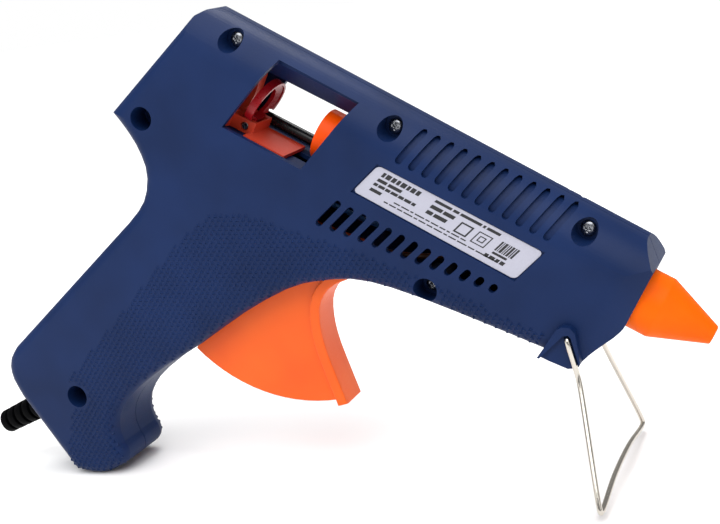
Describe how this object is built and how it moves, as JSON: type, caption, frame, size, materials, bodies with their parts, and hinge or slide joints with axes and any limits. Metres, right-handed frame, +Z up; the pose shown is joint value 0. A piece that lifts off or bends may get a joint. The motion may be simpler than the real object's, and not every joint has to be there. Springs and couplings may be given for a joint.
{
  "type": "glue gun",
  "caption": "Trigger-fed hot-melt glue gun for 11 mm sticks, with a see-through feed window, silicone nozzle cover and swinging wire bail stand.",
  "frame": {"origin": "middle of the bounding box, on the surface it stands on", "axes": "+X forward towards the nozzle, +Z up; standing nose-down on its bail and the heel of the grip"},
  "size_m": [0.3034, 0.0776, 0.1772],
  "materials": {
    "housing_plastic": "moulded ABS, fine texture",
    "cover_silicone": "satin silicone",
    "nozzle_brass": "turned",
    "cast_chamber": "die cast",
    "heater_ceramic": "film-wrapped ceramic",
    "spring_steel": "drawn wire and strip",
    "collar_silicone": "moulded silicone",
    "sleeve_plastic": "moulded",
    "black_plastic": "moulded",
    "carriage_plastic": "moulded",
    "pin_steel": "drawn",
    "clamp_plastic": "moulded nylon",
    "trigger_plastic": "moulded, satin",
    "screw_steel": "zinc plated",
    "label_foil": "satin foil with printed rules",
    "nickel_wire": "nickel plated",
    "wire_brown": "PVC insulation",
    "wire_blue": "PVC insulation",
    "relief_rubber": "moulded PVC, satin"
  },
  "bodies": {
    "housing": {"right_shell": "housing_plastic", "left_shell": "housing_plastic", "nozzle_cover": "cover_silicone", "nozzle": "nozzle_brass", "melt_chamber": "cast_chamber", "ptc_heater": "heater_ceramic", "heater_clip": "spring_steel", "front_collar": "collar_silicone", "rear_collar": "collar_silicone", "inlet_sleeve": "sleeve_plastic", "guide_rod": "black_plastic", "return_spring": "spring_steel", "trigger_pin": "pin_steel", "housing_screw_rear_top": "screw_steel", "housing_screw_middle_top": "screw_steel", "housing_screw_front_top": "screw_steel", "housing_screw_thumb_web": "screw_steel", "housing_screw_underside": "screw_steel", "housing_screw_grip": "screw_steel", "label_plate": "label_foil", "live_wire": "wire_brown", "neutral_wire": "wire_blue", "strain_relief": "relief_rubber", "cord_clamp": "black_plastic", "cord_clamp_screw_upper": "screw_steel", "cord_clamp_screw_lower": "screw_steel"},
    "trigger": {"trigger": "trigger_plastic", "link_pin_front": "pin_steel"},
    "carriage": {"feed_carriage": "carriage_plastic", "clamp_pin": "pin_steel", "link_pin_rear": "pin_steel", "drive_link": "pin_steel"},
    "clamp": {"stick_clamp": "clamp_plastic"},
    "bail": {"bail_stand": "nickel_wire"}
  },
  "joints": [
    {"name": "trigger_squeeze", "type": "hinge", "parent": "housing", "child": "trigger", "pos_m": [0.00333, 0, 0.09251], "axis": [0, 1, 0], "range_deg": [0, 22], "stiffness_Nm_per_rad": 0.8, "springref_deg": -14.32},
    {"name": "carriage_slide", "type": "slide", "parent": "housing", "child": "carriage", "axis": [0.8544, 0, -0.5196], "range_m": [0, 0.0085], "deforming": ["return_spring"]},
    {"name": "clamp_tilt", "type": "hinge", "parent": "carriage", "child": "clamp", "pos_m": [-0.00673, 0, 0.13467], "axis": [0, 1, 0], "range_deg": [0, 8.2]},
    {"name": "bail_swing", "type": "hinge", "parent": "housing", "child": "bail", "pos_m": [0.10576, 0, 0.05597], "axis": [0, 1, 0], "range_deg": [0, 60]}
  ],
  "couplings": [
    {"joint": "carriage_slide", "follows": "trigger_squeeze", "m_per_rad": 0.021866},
    {"joint": "clamp_tilt", "follows": "trigger_squeeze", "ratio": 0.36364}
  ]
}
